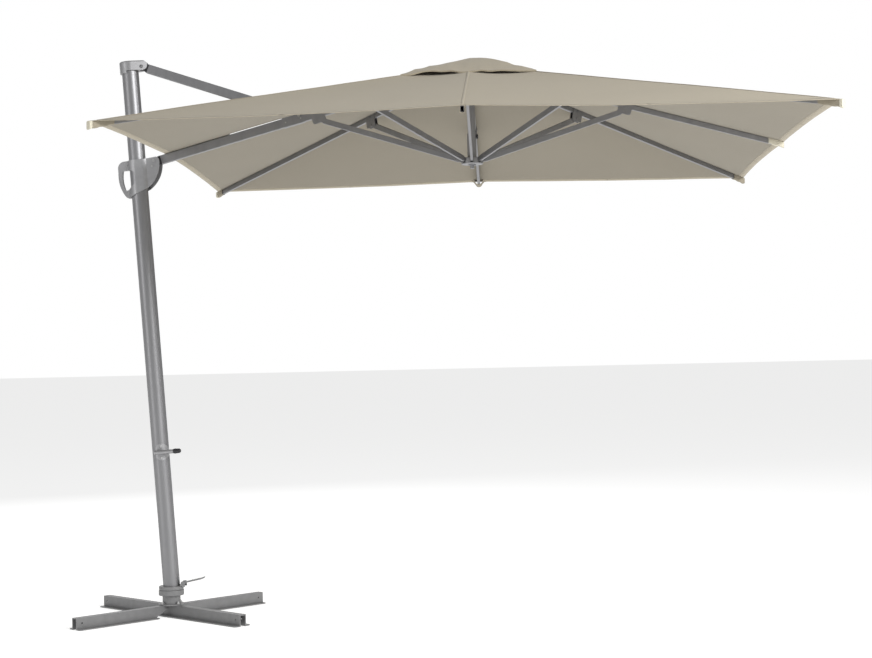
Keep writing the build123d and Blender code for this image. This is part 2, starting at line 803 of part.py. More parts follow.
def lower_hub():
    """Slotted ring for the stretchers with a sleeve that slides on the pole."""
    bore = pole_radius + running_gap
    body = slotted_disc(
        hub_radius, hub_thick, hub_height, stretcher_width + 2 * running_gap + 1.0,
        ring_radius - stretcher_height / 2 - 0.9, bore,
    )
    body = with_pin_holes(body, hub_height, middles)
    dish = Cylinder(hub_radius + 1.0, dish_thick) - Cylinder(bore, 3 * dish_thick)
    dish = fillet(dish.edges().group_by(Axis.Z)[0].sort_by(lambda e: e.radius)[-1], dish_thick - 1.0)
    body += Pos(canopy_centre_x, 0, hub_height - hub_thick / 2 - dish_thick / 2 + 0.5) * dish
    low = hub_height + hub_thick / 2
    sleeve = Cylinder(bore + sleeve_wall, sleeve_length) - Cylinder(bore, 3 * sleeve_length)
    sleeve = Pos(canopy_centre_x, 0, low + sleeve_length / 2) * sleeve
    return body + sleeve - latch_hole()


latch_height = hub_height + hub_thick / 2 + sleeve_length * latch_share
latch_start = canopy_centre_x + pole_radius + running_gap + 0.3


def latch_hole():
    hole = Cylinder(latch_radius + pivot_clearance, 20)
    return Pos(latch_start + 4, 0, latch_height) * Rot(0, 90, 0) * hole


def latch_knob():
    """Spring-loaded knob that locks the sleeve to the pole, its head close to the sleeve."""
    outer = canopy_centre_x + pole_radius + running_gap + sleeve_wall + latch_head_gap
    length = outer - latch_start + 2.0
    shank = Rot(0, 90, 0) * Cylinder(latch_radius, length)
    shank = Pos(latch_start + length / 2, 0, latch_height) * shank
    head = Cylinder(latch_head_radius, latch_head_thick)
    head = Pos(outer + latch_head_thick / 2, 0, latch_height) * Rot(0, 90, 0) * head
    return shank + fillet(head.edges().group_by(Axis.X)[-1], 2.5)


def centre_pole():
    low = hub_height - hub_thick / 2 - pole_below_hub
    high = crown_height + crown_thick / 2
    section = Circle(pole_radius) - Circle(pole_radius - pole_wall)
    return Pos(canopy_centre_x, 0, low) * extrude(section, amount=high - low)


def pole_tip():
    low = hub_height - hub_thick / 2 - pole_below_hub
    tip = Cylinder(pole_tip_radius, pole_tip_length)
    tip = fillet(tip.edges().group_by(Axis.Z)[0], 4.0)
    plug = Pos(0, 0, pole_tip_length / 2 + 10) * Cylinder(pole_radius - pole_wall, 20)
    return Pos(canopy_centre_x, 0, low - pole_tip_length / 2) * (tip + plug)


def crown_cap():
    """Threaded knob on top of the crown that holds the vent cap."""
    low = crown_height + crown_thick / 2
    cap = Cylinder(22.0, 14.0)
    cap = fillet(cap.edges().group_by(Axis.Z)[-1], 5.0)
    return Pos(canopy_centre_x, 0, low + 7.0) * cap


# ---- ribs and stretchers ----
def rib_line(name):
    """Direction of a rib and the place of its stretcher pivot, in the rib's side plane."""
    azimuth, reach, tip_height = ribs[name]
    start = (ring_radius, crown_height)
    tip = (reach - rib_tip_inset, tip_height - fabric_over_rib)
    direction = unit(start, tip)
    if azimuth % 90:
        foot = corner_stretcher_foot
        level = crown_height + (foot - ring_radius) * direction[1] / direction[0] - corner_pivot_drop
    else:
        foot, level = stretcher_foot, middle_pivot_height
    return start, tip, direction, (foot, level)


def rib(name):
    """A rib tube with its tongue, its bracket's cheeks and the bracket's two rivets."""
    plane = side_plane(ribs[name][0])
    start, tip, direction, pivot = rib_line(name)
    radius = rib_height / 2 - 0.1
    joint_end = along(start, direction, 20)
    tongue = rod(plane, start, radius, rib_width - 0.4)
    tongue += plate(plane, slab(start, joint_end, 2 * radius), rib_width - 0.4)
    tongue -= rod(plane, start, rivet_radius + pivot_clearance, 60)
    tube = bar(plane, joint_end, tip, rib_height, rib_width, rib_wall, 2.0)
    reach = (pivot[0] - start[0]) * direction[0] + (pivot[1] - start[1]) * direction[1]
    drop = (pivot[1] - start[1]) * direction[0] - (pivot[0] - start[0]) * direction[1]
    upper = along(start, direction, reach, 2)
    tube -= rod(plane, upper, rivet_radius, 60)
    top = along(start, direction, reach, rib_height / 2)
    bottom = along(start, direction, reach, drop - 13)
    cheeks = clamp_cheeks(plane, upper, pivot, direction, rib_width, top, bottom)
    half = rib_width / 2 + clamp_sheet
    rivets = [
        pivot_head(plane, point, rivet_radius, half, rivet_head_radius) for point in (upper, pivot)
    ]
    return Compound([tongue, tube, *cheeks, *rivets])


def stretcher(azimuth, pivot):
    """Tube from a rib's bracket to the lower hub, with a solid eye at each end."""
    plane = side_plane(azimuth)
    hub_pin = (ring_radius, hub_height)
    direction = unit(pivot, hub_pin)
    length = hypot(pivot[0] - hub_pin[0], pivot[1] - hub_pin[1])
    near, far = along(pivot, direction, 22), along(pivot, direction, length - 22)
    body = bar(
        plane, near, far, stretcher_height, stretcher_width, stretcher_wall, 2.0, groove=0.5
    )
    eye = stretcher_eye_radius
    for point, end in ((pivot, near), (hub_pin, far)):
        body += rod(plane, point, eye, stretcher_width - 0.2)
        body += plate(plane, slab(point, end, 2 * eye), stretcher_width - 0.2)
    for point in (pivot, hub_pin):
        body -= rod(plane, point, rivet_radius + pivot_clearance, 60)
    return body


# ---- canopy ----
def fabric_line(azimuth):
    """Underside of the fabric along a rib, as a start near the pole and a tip."""
    if azimuth == 180:
        rise = arm_dir[1] / arm_dir[0]
        level = crown_height - (half_side - ring_radius) * rise + fabric_over_arm
        apex = crown_height + ring_radius * rise + fabric_over_arm
        return apex, half_side, level
    for angle, reach, tip_height in ribs.values():
        if angle == azimuth:
            start = (ring_radius, crown_height)
            direction = unit(start, (reach - rib_tip_inset, tip_height - fabric_over_rib))
            slope = direction[1] / direction[0]
            apex = crown_height - ring_radius * slope + fabric_over_rib
            return apex, reach, crown_height + (reach - ring_radius) * slope + fabric_over_rib


def fabric_point(azimuth, reach, lift=0.0):
    apex, tip, level = fabric_line(azimuth)
    a = radians(azimuth)
    height = apex + (level - apex) * reach / tip
    return Vector(canopy_centre_x + reach * cos(a), reach * sin(a), height + lift)


def fabric_panel(azimuth, inner, outer_share, lift, scallop):
    """One triangular panel between two rib lines, as a thin flat solid."""
    following = (azimuth + 45) % 360
    reaches = [fabric_line(a)[1] * outer_share for a in (azimuth, following)]
    inners = [inner * fabric_line(a)[1] / half_side for a in (azimuth, following)]
    a0, b0 = fabric_point(azimuth, inners[0], lift), fabric_point(following, inners[1], lift)
    a1, b1 = fabric_point(azimuth, reaches[0], lift), fabric_point(following, reaches[1], lift)
    middle = (a1 + b1) * 0.5
    inward = ((a0 + b0) * 0.5 - middle).normalized() * scallop
    faces = [(a0, a1, middle + inward), (a0, middle + inward, b0), (b0, middle + inward, b1)]
    body = None
    for corners in faces:
        face = Face(Wire.make_polygon(corners, close=True))
        piece = extrude(face, amount=fabric_thick, dir=(0, 0, 1))
        body = piece if body is None else body + piece
    return body


def canopy():
    body = None
    for azimuth in azimuths:
        panel = fabric_panel(azimuth, vent_opening, 1.0, 0, edge_scallop)
        body = panel if body is None else body + panel
    low, high = tie_point(tie_tube_end - 260), tie_point(tie_length + 20)
    slit = Pos((low[0] + high[0]) / 2, 0, crown_height) * Box(high[0] - low[0], tie_slit_width, 900)
    return body - slit


def vent_cap():
    """Small cap over the opening at the top, its rim lifted clear of the canopy."""
    share = vent_half_side / half_side
    body = None
    for azimuth in azimuths:
        following = (azimuth + 45) % 360
        rim = [
            fabric_point(a, fabric_line(a)[1] * share, vent_lift) for a in (azimuth, following)
        ]
        top = Vector(canopy_centre_x, 0, fabric_line(0)[0] + vent_crown)
        face = Face(Wire.make_polygon((top, *rim), close=True))
        piece = extrude(face, amount=fabric_thick, dir=(0, 0, 1))
        body = piece if body is None else body + piece
    return body


parts = {
    "base_long_bar": long_bar(),
    "base_leg_back_right": leg(leg_turn),
    "base_leg_front_left": leg(leg_turn + 180),
    "base_foot_plate": foot_plate(),
    "base_bolts": base_bolts(),
    "base_tube": base_tube(),
    "base_lower_ring": lower_ring(),
    "base_swivel_bush": swivel_bush(),
    "mast_tube": mast_tube(),
    "mast_rail_strip": mast_rail(),
    "mast_swivel_foot": swivel_foot(),
    "mast_head": mast_head(),
    "mast_head_pin": head_pin_piece(),
    "pedal_bracket": pedal_bracket(),
    "pedal_lever": pedal_lever(),
    "turning_handle_plate": handle_plate(),
    "turning_handle_bar": handle_bar(),
    "turning_handle_knob": handle_knob(),
    "turning_handle_screws": handle_screws(),
    "tie_arm_tube": tie_tube(),
    "tie_arm_head_plug": tie_head_plug(),
    "tie_arm_fork": tie_fork(),
    "tie_arm_pin": tie_pin_piece(),
    "arm_tube": arm_tube(),
    "arm_end_block": arm_end_block(),
    "arm_sleeve": arm_sleeve(),
    "arm_sleeve_rivets": sleeve_rivets(),
    "arm_crown_tongue": arm_crown_tongue(),
    "arm_stretcher_clamp": arm_clamp(),
    "carriage_shell_near": carriage_shell(-1),
    "carriage_shell_far": carriage_shell(1),
    "carriage_screws": carriage_screws(),
    "carriage_spacers": carriage_spacers(),
    "carriage_pin": carriage_pin_piece(),
    "crown_hub": crown_hub(),
    "crown_pins": ring_pins(crown_height, azimuths),
    "crown_cap": crown_cap(),
    "centre_pole": centre_pole(),
    "pole_tip": pole_tip(),
    "lower_hub": lower_hub(),
    "lower_hub_pins": ring_pins(hub_height, middles),
    "latch_knob": latch_knob(),
    "canopy": canopy(),
    "vent_cap": vent_cap(),
    "stretcher_left": stretcher(180, (stretcher_foot, middle_pivot_height)),
}
for name, (azimuth, _, _) in ribs.items():
    parts["rib_" + name] = rib(name)
    parts["stretcher_" + name] = stretcher(azimuth, rib_line(name)[3])

os.makedirs("parts", exist_ok=True)
for name, shape in parts.items():
    export_step(shape, f"parts/{name}.step")
print(len(parts), "nodes")
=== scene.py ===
import json
from math import atan2, cos, degrees, exp, hypot, pi, radians, sin

import bmesh
import bpy
from mathutils import Matrix, Vector, noise


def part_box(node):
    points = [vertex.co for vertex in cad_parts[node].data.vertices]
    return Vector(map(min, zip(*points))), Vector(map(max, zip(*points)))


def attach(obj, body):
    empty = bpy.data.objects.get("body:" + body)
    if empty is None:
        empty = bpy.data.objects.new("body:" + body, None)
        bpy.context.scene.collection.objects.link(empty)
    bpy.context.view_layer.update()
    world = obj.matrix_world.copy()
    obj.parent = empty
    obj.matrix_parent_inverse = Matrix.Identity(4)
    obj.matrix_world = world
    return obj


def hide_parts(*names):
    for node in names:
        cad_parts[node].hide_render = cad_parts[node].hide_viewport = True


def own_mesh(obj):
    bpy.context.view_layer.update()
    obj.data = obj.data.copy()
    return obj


# Cantilever parasol: metal frame from the CAD, fabric and finishes made here. Metres.
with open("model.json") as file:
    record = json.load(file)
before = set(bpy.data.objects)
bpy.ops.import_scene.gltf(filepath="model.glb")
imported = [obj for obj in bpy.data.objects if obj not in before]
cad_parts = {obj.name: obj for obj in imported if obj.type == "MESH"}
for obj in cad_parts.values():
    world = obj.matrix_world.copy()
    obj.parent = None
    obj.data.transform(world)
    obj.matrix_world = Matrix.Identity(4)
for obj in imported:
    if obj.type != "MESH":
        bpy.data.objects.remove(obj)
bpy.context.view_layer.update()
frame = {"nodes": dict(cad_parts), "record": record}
nodes = frame["nodes"]
bpy.ops.object.select_all(action="DESELECT")
print("frame loaded:", len(nodes), "nodes")


# ---- camera, light and floor ----
cameraView = {
    "place": (1.709, -8.361, 1.221), "yaw": -0.0468, "pitch": 0.0173, "roll": -0.0223,
    "lens": 71.34, "sensor": 36,
}
studio = {
    "floorSide": 400.0, "floorColour": (0.90, 0.90, 0.895, 1), "floorGlow": 0.52, "floorRough": 0.9,
    "floorDrop": 0.0005, "backdrop": (1, 1, 1, 1), "ambient": 0.36,
    "lights": {  # place, aim, width, height, watts
        "keyLight": ((6.6, -5.6, 4.9), (2.0, -0.4, 2.2), 3.4, 2.6, 560),
        "stripLight": ((-5.0, -4.5, 2.4), (0, 0, 1.5), 1.6, 3.6, 70),
        "backLight": ((-2.0, 6.5, 4.5), (1.0, 0, 1.8), 4.0, 2.5, 120),
    },
}


def placeCamera():
    view = cameraView
    yaw, pitch, roll = view["yaw"], view["pitch"], view["roll"]
    level = Vector((sin(yaw), cos(yaw), 0))
    side = Vector((cos(yaw), -sin(yaw), 0))
    look = level * cos(pitch) + Vector((0, 0, sin(pitch)))
    above = Vector((0, 0, cos(pitch))) - level * sin(pitch)
    right = side * cos(roll) + above * sin(roll)
    up = above * cos(roll) - side * sin(roll)
    turn = Matrix((right, up, -look)).transposed()
    bpy.ops.object.camera_add(location=view["place"], rotation=turn.to_euler())
    camera = bpy.context.object
    camera.data.lens = view["lens"]
    camera.data.sensor_width = view["sensor"]
    bpy.context.scene.camera = camera


def lightStudio():
    for name, (place, aim, width, height, watts) in studio["lights"].items():
        turn = (Vector(place) - Vector(aim)).to_track_quat("Z", "Y").to_euler()
        bpy.ops.object.light_add(type="AREA", location=place, rotation=turn)
        light = bpy.context.object
        light.name = name
        light.data.shape = "RECTANGLE"
        light.data.size = width
        light.data.size_y = height
        light.data.energy = watts
    world = bpy.data.worlds.new("studio")
    bpy.context.scene.world = world
    world.use_nodes = True
    tree = world.node_tree
    soft = tree.nodes["Background"]
    soft.inputs["Color"].default_value = studio["backdrop"]
    soft.inputs["Strength"].default_value = studio["ambient"]
    white = tree.nodes.new("ShaderNodeBackground")
    white.inputs["Color"].default_value = studio["backdrop"]
    path = tree.nodes.new("ShaderNodeLightPath")
    mix = tree.nodes.new("ShaderNodeMixShader")
    tree.links.new(path.outputs["Is Camera Ray"], mix.inputs["Fac"])
    tree.links.new(soft.outputs[0], mix.inputs[1])
    tree.links.new(white.outputs[0], mix.inputs[2])
    tree.links.new(mix.outputs[0], tree.nodes["World Output"].inputs["Surface"])
    bpy.context.scene.view_settings.view_transform = "Standard"


def layFloor():
    bpy.ops.mesh.primitive_plane_add(size=studio["floorSide"], location=(0, 0, -studio["floorDrop"]))
    floor = bpy.context.object
    floor.name = "floor"
    material, _, shader = plainMaterial("floorPaint", studio["floorColour"], studio["floorRough"])
    shader.inputs["Specular IOR Level"].default_value = 0
    shader.inputs["Emission Color"].default_value = studio["backdrop"]
    shader.inputs["Emission Strength"].default_value = studio["floorGlow"]
    floor.data.materials.append(material)


# ---- finishes ----
def plainMaterial(name, colour, rough, metal=0.0):
    material = bpy.data.materials.new(name)
    material.use_nodes = True
    tree = material.node_tree
    shader = tree.nodes["Principled BSDF"]
    shader.inputs["Base Color"].default_value = colour
    shader.inputs["Roughness"].default_value = rough
    shader.inputs["Metallic"].default_value = metal
    return material, tree, shader


def addNode(tree, kind, **values):
    node = tree.nodes.new("ShaderNode" + kind)
    for key, value in values.items():
        if key in node.inputs:
            node.inputs[key].default_value = value
        else:
            setattr(node, key, value)
    return node


def grain(tree, scale, detail=3.0, stretch=(1, 1, 1), source="Object"):
    where = addNode(tree, "TexCoord")
    shape = addNode(tree, "Mapping")
    shape.inputs["Scale"].default_value = stretch
    pattern = addNode(tree, "TexNoise")
    pattern.inputs["Scale"].default_value = scale
    pattern.inputs["Detail"].default_value = detail
    tree.links.new(where.outputs[source], shape.inputs["Vector"])
    tree.links.new(shape.outputs[0], pattern.inputs["Vector"])
    return pattern.outputs["Fac"]


def between(tree, share, low, high):
    ramp = addNode(tree, "ValToRGB")
    ramp.color_ramp.elements[0].position = 0.3
    ramp.color_ramp.elements[1].position = 0.7
    ramp.color_ramp.elements[0].color = low
    ramp.color_ramp.elements[1].color = high
    tree.links.new(share, ramp.inputs["Fac"])
    return ramp.outputs["Color"]


def ranged(tree, share, low, high):
    spread = addNode(tree, "MapRange")
    spread.inputs["To Min"].default_value = low
    spread.inputs["To Max"].default_value = high
    tree.links.new(share, spread.inputs["Value"])
    return spread.outputs["Result"]


def relief(tree, shader, height, strength, depth):
    bump = addNode(tree, "Bump")
    bump.inputs["Strength"].default_value = strength
    bump.inputs["Distance"].default_value = depth
    tree.links.new(height, bump.inputs["Height"])
    tree.links.new(bump.outputs[0], shader.inputs["Normal"])


finishes = {  # low colour, high colour, roughness range, metal, grain scale, stretch, relief strength
    "frame_aluminium": (
        (0.250, 0.250, 0.258, 1), (0.285, 0.285, 0.293, 1),
        (0.40, 0.48), 0.82, 26, (1, 1, 0.05), 0.015,
    ),
    "cast_aluminium": (
        (0.330, 0.330, 0.338, 1), (0.370, 0.370, 0.378, 1),
        (0.42, 0.50), 0.75, 40, (1, 1, 1), 0.03,
    ),
    "base_steel": (
        (0.215, 0.215, 0.218, 1), (0.240, 0.240, 0.243, 1),
        (0.46, 0.54), 0.35, 30, (1, 1, 1), 0.03,
    ),
    "fastener_steel": (
        (0.45, 0.45, 0.45, 1), (0.60, 0.60, 0.60, 1),
        (0.26, 0.36), 1.0, 160, (1, 1, 1), 0.03,
    ),
    "black_plastic": (
        (0.012, 0.012, 0.014, 1), (0.022, 0.022, 0.025, 1),
        (0.42, 0.58), 0.0, 220, (1, 1, 1), 0.10,
    ),
}
fabric = {
    "low": (0.355, 0.312, 0.232, 1), "high": (0.410, 0.362, 0.272, 1), "thread": (0.56, 0.51, 0.40, 1),
    "tape": (0.66, 0.62, 0.50, 1), "tapeShade": 0.82, "tapeRough": 0.8,
    # inside: brightness of a darker copy of the cloth for the underside, painted shade standing in for the
    # shade under the canopy
    "inside": 0.56, "hem": 0.92, "seam": 0.98, "pocket": 0.72,  # brightness of each cloth
    "yarn": 0.0013, "rough": 0.88, "sheen": 0.12, "sheenRough": 0.6,
    "stitch": 0.0042, "stitchWide": 0.0011, "dash": 0.72,
    "hemRows": (0.004, 0.024), "seamRows": (0.003, 0.009),
    "weaveShare": 0.16, "melangeShare": 0.45, "cloudShare": 0.35,  # what makes up the tone
}


def metalFinish(slot):
    low, high, rough, metal, scale, stretch, strength = finishes[slot]
    material, tree, shader = plainMaterial(slot, high, rough[0], metal)
    tone = grain(tree, scale, 4.0, stretch)
    tree.links.new(between(tree, tone, low, high), shader.inputs["Base Color"])
    wear = grain(tree, scale * 0.23, 5.0, stretch)
    tree.links.new(ranged(tree, wear, *rough), shader.inputs["Roughness"])
    relief(tree, shader, grain(tree, scale * 14, 2.0), strength, 0.0004)
    return material


def yarns(tree, direction):
    where = addNode(tree, "TexCoord")
    wave = addNode(tree, "TexWave", bands_direction=direction, wave_profile="SIN")
    wave.inputs["Scale"].default_value = pi / 10 / fabric["yarn"]
    wave.inputs["Distortion"].default_value = 0.6
    tree.links.new(where.outputs["UV"], wave.inputs["Vector"])
    return wave.outputs["Fac"]


def compute(tree, operation, first, second=None):
    step = addNode(tree, "Math", operation=operation)
    for n, value in enumerate((first, second)):
        if value is None:
            continue
        if isinstance(value, (int, float)):
            step.inputs[n].default_value = value
        else:
            tree.links.new(value, step.inputs[n])
    return step.outputs[0]


def stitchMask(tree, rows):
    # Dashes of thread along u, one row of them at each of the given distances v
    where = addNode(tree, "TexCoord")
    split = addNode(tree, "SeparateXYZ")
    tree.links.new(where.outputs["UV"], split.inputs[0])
    dash = compute(tree, "FRACT", compute(tree, "DIVIDE", split.outputs["X"], fabric["stitch"]))
    dash = compute(tree, "LESS_THAN", dash, fabric["dash"])
    mask = None
    for row in rows:
        away = compute(tree, "ABSOLUTE", compute(tree, "SUBTRACT", split.outputs["Y"], row))
        line = compute(tree, "LESS_THAN", away, fabric["stitchWide"] / 2)
        mask = line if mask is None else compute(tree, "MAXIMUM", mask, line)
    return compute(tree, "MULTIPLY", mask, dash)


def clothFinish(name, brightness=1.0, rows=()):
    low = tuple(min(1, c * brightness) for c in fabric["low"][:3]) + (1,)
    high = tuple(min(1, c * brightness) for c in fabric["high"][:3]) + (1,)
    material, tree, shader = plainMaterial(name, high, fabric["rough"])
    shader.inputs["Sheen Weight"].default_value = fabric["sheen"]
    shader.inputs["Sheen Roughness"].default_value = fabric["sheenRough"]
    weave = compute(tree, "ADD", yarns(tree, "X"), yarns(tree, "Y"))
    melange = grain(tree, 520, 2.0)
    cloudy = grain(tree, 2.2, 3.0)
    woven = compute(tree, "MULTIPLY", weave, fabric["weaveShare"])
    flecked = compute(tree, "MULTIPLY", melange, fabric["melangeShare"])
    tone = compute(tree, "ADD", woven, flecked)
    tone = compute(tree, "ADD", tone, compute(tree, "MULTIPLY", cloudy, fabric["cloudShare"]))
    colour = between(tree, tone, low, high)
    height = weave
    if rows:
        mask = stitchMask(tree, rows)
        mix = addNode(tree, "Mix", data_type="RGBA")
        tree.links.new(mask, mix.inputs["Factor"])
        mix.inputs[7].default_value = fabric["thread"]
        tree.links.new(colour, mix.inputs[6])
        colour = mix.outputs[2]
        height = compute(tree, "ADD", weave, compute(tree, "MULTIPLY", mask, 2.5))
    tree.links.new(colour, shader.inputs["Base Color"])
    relief(tree, shader, height, 0.35, 0.0003)
    return material


def tapeFinish():
    material, tree, shader = plainMaterial("creamTape", fabric["tape"], fabric["tapeRough"])
    darker = tuple(c * fabric["tapeShade"] for c in fabric["tape"][:3]) + (1,)
    tone = between(tree, grain(tree, 300, 3.0), darker, fabric["tape"])
    tree.links.new(tone, shader.inputs["Base Color"])
    relief(tree, shader, compute(tree, "ADD", yarns(tree, "X"), yarns(tree, "Y")), 0.4, 0.0003)
    return material


placeCamera()
lightStudio()
layFloor()
slotOf = {row["node"]: row["material_slot"] for row in frame["record"]["subparts"]}
looks = {slot: metalFinish(slot) for slot in finishes}
clothLook = clothFinish("taupeCloth")
# Darker copy of the taupe cloth for the lower faces: painted shade on the underside
shadedUndersideLook = clothFinish("taupeClothPaintedShade", fabric["inside"])
for name, piece in nodes.items():
    if slotOf[name] in looks:
        piece.data.materials.clear()
        piece.data.materials.append(looks[slotOf[name]])
hemLook = clothFinish("hemCloth", fabric["hem"], fabric["hemRows"])
seamLook = clothFinish("seamCloth", fabric["seam"], fabric["seamRows"])
pocketLook = clothFinish("pocketCloth", fabric["pocket"])
tapeLook = tapeFinish()
print("studio and finishes ready")


# ---- canopy ----
canopyCut = {
    "bow": 0.016, "scallop": 0.021, "rows": 80, "columns": 30, "thick": 0.0009, "hemWide": 0.028,
    "hemThick": 0.0013, "seamWide": 0.012, "folded": 0.11, "foldedAway": 0.034, "fold": "tie_arm_fold",
}
ribNames = {
    0: "right", 45: "back_right", 90: "back", 135: "back_left",
    180: "left", 225: "front_left", 270: "front", 315: "front_right",
}
low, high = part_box("canopy")
canopyHalf = (high.x - low.x) / 2
poleX = (high.x + low.x) / 2


def ribLines():
    # Where the fabric lies over each rib: reach and height at the vent and at the tip
    found = {turn: [] for turn in ribNames}
    for vertex in nodes["canopy"].data.vertices:
        x, y, z = vertex.co.x - poleX, vertex.co.y, vertex.co.z
        turn = degrees(atan2(y, x)) % 360
        nearest = round(turn / 45) * 45 % 360
        if abs((turn - nearest + 180) % 360 - 180) < 0.2:
            found[nearest].append((hypot(x, y), z))
    lines = {}
    for turn, spots in found.items():
        inner = min(spots, key=lambda s: (round(s[0], 4), s[1]))
        outer = max(spots, key=lambda s: (round(s[0], 4), -s[1]))
        lines[turn] = (*inner, *outer)
    return lines


fabricLines = ribLines()
ventShare = fabricLines[0][0] / fabricLines[0][2]


def ribPoint(turn, share):
    innerReach, innerHeight, reach, height = fabricLines[turn]
    slope = (height - innerHeight) / (reach - innerReach)
    out = share * reach
    a = radians(turn)
    return Vector((poleX + out * cos(a), out * sin(a), height + (out - reach) * slope + 0.0006))


def tensionFolds(point):
    # Small folds that run in from the tips, and a slow unevenness of the whole cloth
    rise = 0.0022 * noise.noise(Vector((point.x * 1.4, point.y * 1.4, 3.1)))
    rise += 0.0008 * noise.noise(Vector((point.x * 6.0, point.y * 6.0, 7.7)))
    for turn in ribNames:
        tip = ribPoint(turn, 1)
        dx, dy = point.x - tip.x, point.y - tip.y
        away = hypot(dx, dy)
        if away > 0.7:
            continue
        bend = atan2(dy, dx)
        fade = exp(-away / 0.16) * (1 - exp(-away / 0.02))
        rise += 0.0030 * fade * sin(bend * 11 + turn) * noise.noise(Vector((bend * 2.0, turn * 0.1, 1.0)))
        rise += 0.0016 * fade * sin(bend * 7 + turn * 0.7)
    return rise


def fabricPoint(turn, across, share, lift=0.0):
    other = (turn + (45 if across >= 0 else -45)) % 360
    width = abs(across)
    spread = 4 * width * (1 - width)
    share *= 1 - canopyCut["scallop"] / canopyHalf * spread * share**5
    point = ribPoint(turn, share) * (1 - width) + ribPoint(other, share) * width
    point.z -= canopyCut["bow"] * spread * sin(pi * (0.12 + 0.62 * share))
    point.z += tensionFolds(point) + lift
    return point


def newPiece(name, mesh, look, body):
    piece = bpy.data.objects.new(name, mesh)
    bpy.context.scene.collection.objects.link(piece)
    mesh.materials.append(look)
    if body:
        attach(piece, body)
    return piece


def gridMesh(name, pointAt, uvAt, rows, columns):
    mesh = bpy.data.meshes.new(name)
    shape = bmesh.new()
    uv = shape.loops.layers.uv.new("UVMap")
    grid = [
        [shape.verts.new(pointAt(r / rows, c / columns)) for c in range(columns + 1)]
        for r in range(rows + 1)
    ]
    for r in range(rows):
        for c in range(columns):
            corners = ((r, c), (r + 1, c), (r + 1, c + 1), (r, c + 1))
            face = shape.faces.new([grid[i][j] for i, j in corners])
            middle = (c + 0.5) / columns
            for loop, (i, j) in zip(face.loops, corners):
                loop[uv].uv = uvAt(loop.vert.co, i / rows, j / columns, middle)
            face.smooth = True
    if shape.faces[:] and sum(f.normal.z for f in shape.faces) < 0:
        bmesh.ops.reverse_faces(shape, faces=shape.faces)
    shape.to_mesh(mesh)
    shape.free()
    return mesh


def sideFrame(turn, across):
    other = (turn + (45 if across >= 0 else -45)) % 360
    square = turn if turn % 90 == 0 else other
    a = radians(square)
    return Vector((-sin(a), cos(a), 0)), Vector((cos(a), sin(a), -0.28))


def thicken(piece, thickness):
    bpy.context.view_layer.objects.active = piece
    piece.select_set(True)
    wall = piece.modifiers.new("wall", "SOLIDIFY")
    wall.thickness = thickness
    wall.offset = 0
    # The lower shell gets the darker cloth: painted shade on the underside
    piece.data.materials.append(shadedUndersideLook)
    wall.material_offset = 1
    bpy.ops.object.modifier_apply(modifier=wall.name)
    bpy.ops.object.shade_smooth_by_angle(angle=radians(40))
    piece.select_set(False)


def squashToRib(piece):
    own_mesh(piece)


def openSlit(mesh):
    # The tie arm passes the fabric through a slit along the arm
    low, high = slitBox
    shape = bmesh.new()
    shape.from_mesh(mesh)
    for normal, value in (((1, 0, 0), low.x), ((1, 0, 0), high.x), ((0, 1, 0), low.y), ((0, 1, 0), high.y)):
        bmesh.ops.bisect_plane(
            shape, geom=shape.verts[:] + shape.edges[:] + shape.faces[:],
            plane_co=Vector(normal) * value, plane_no=normal, dist=1e-6,
        )
    inside = [
        f for f in shape.faces
        if low.x < f.calc_center_median().x < high.x and low.y < f.calc_center_median().y < high.y
    ]
    bmesh.ops.delete(shape, geom=inside, context="FACES")
    shape.to_mesh(mesh)
    shape.free()


def slitSize():
    # The hole's edges are canopy vertices beside the arm, clear of the vent and the hem
    spots = [
        v.co for v in nodes["canopy"].data.vertices
        if abs(v.co.y) < 0.05 and low.x + 0.15 < v.co.x < poleX - canopyHalf * ventShare - 0.15
    ]
    xs = [s.x for s in spots]
    ys = [s.y for s in spots]
    return Vector((min(xs), min(ys), 0)), Vector((max(xs), max(ys), 0))


slitBox = slitSize()
print("slit", [round(c, 3) for c in (*slitBox[0], *slitBox[1])])


def clothPiece(turn, start, end, label, body):
    cut = canopyCut

    def pointAt(r, c):
        return fabricPoint(turn, start + (end - start) * c, ventShare + (1 - ventShare) * r)

    def uvAt(point, r, c, middle):
        along, outward = sideFrame(turn, start + (end - start) * middle)
        return point.dot(along), point.dot(outward)

    columns = cut["columns"] if end - start < 0.6 else cut["columns"] * 2
    mesh = gridMesh("canopy" + label, pointAt, uvAt, cut["rows"], columns)
    if turn == 180:
        openSlit(mesh)
    area = sum(f.area for f in mesh.polygons)
    piece = newPiece("canopy" + label, mesh, clothLook, body)
    thicken(piece, cut["thick"])
    squashToRib(piece)
    tip = ribPoint(turn, 1)
    length = (tip - ribPoint(turn, ventShare)).length
    a = radians(turn)
    spread = [(Vector(v.co) - tip).dot(Vector((-sin(a), cos(a), 0))) for v in mesh.vertices]
    flat = (max(spread) - min(spread), length)
    return piece, flat, area


def ringBand(name, pointAt, uvAt, stations, look, body):
    # A closed flat band swept along the cloth: pointAt(station, corner) over a loop of corners
    corners = 8
    mesh = bpy.data.meshes.new(name)
    shape = bmesh.new()
    uv = shape.loops.layers.uv.new("UVMap")
    rings = [
        [shape.verts.new(pointAt(s / stations, k)) for k in range(corners)]
        for s in range(stations + 1)
    ]
    for s in range(stations):
        for k in range(corners):
            following = (k + 1) % corners
            spots = ((s, k), (s + 1, k), (s + 1, following), (s, following))
            face = shape.faces.new([rings[i][j] for i, j in spots])
            face.smooth = True
            for loop, (i, j) in zip(face.loops, spots):
                loop[uv].uv = uvAt(i / stations, j)
    for ring in (rings[0], rings[-1]):
        shape.faces.new(ring)
    bmesh.ops.recalc_face_normals(shape, faces=shape.faces)
    shape.to_mesh(mesh)
    shape.free()
    return newPiece(name, mesh, look, body)


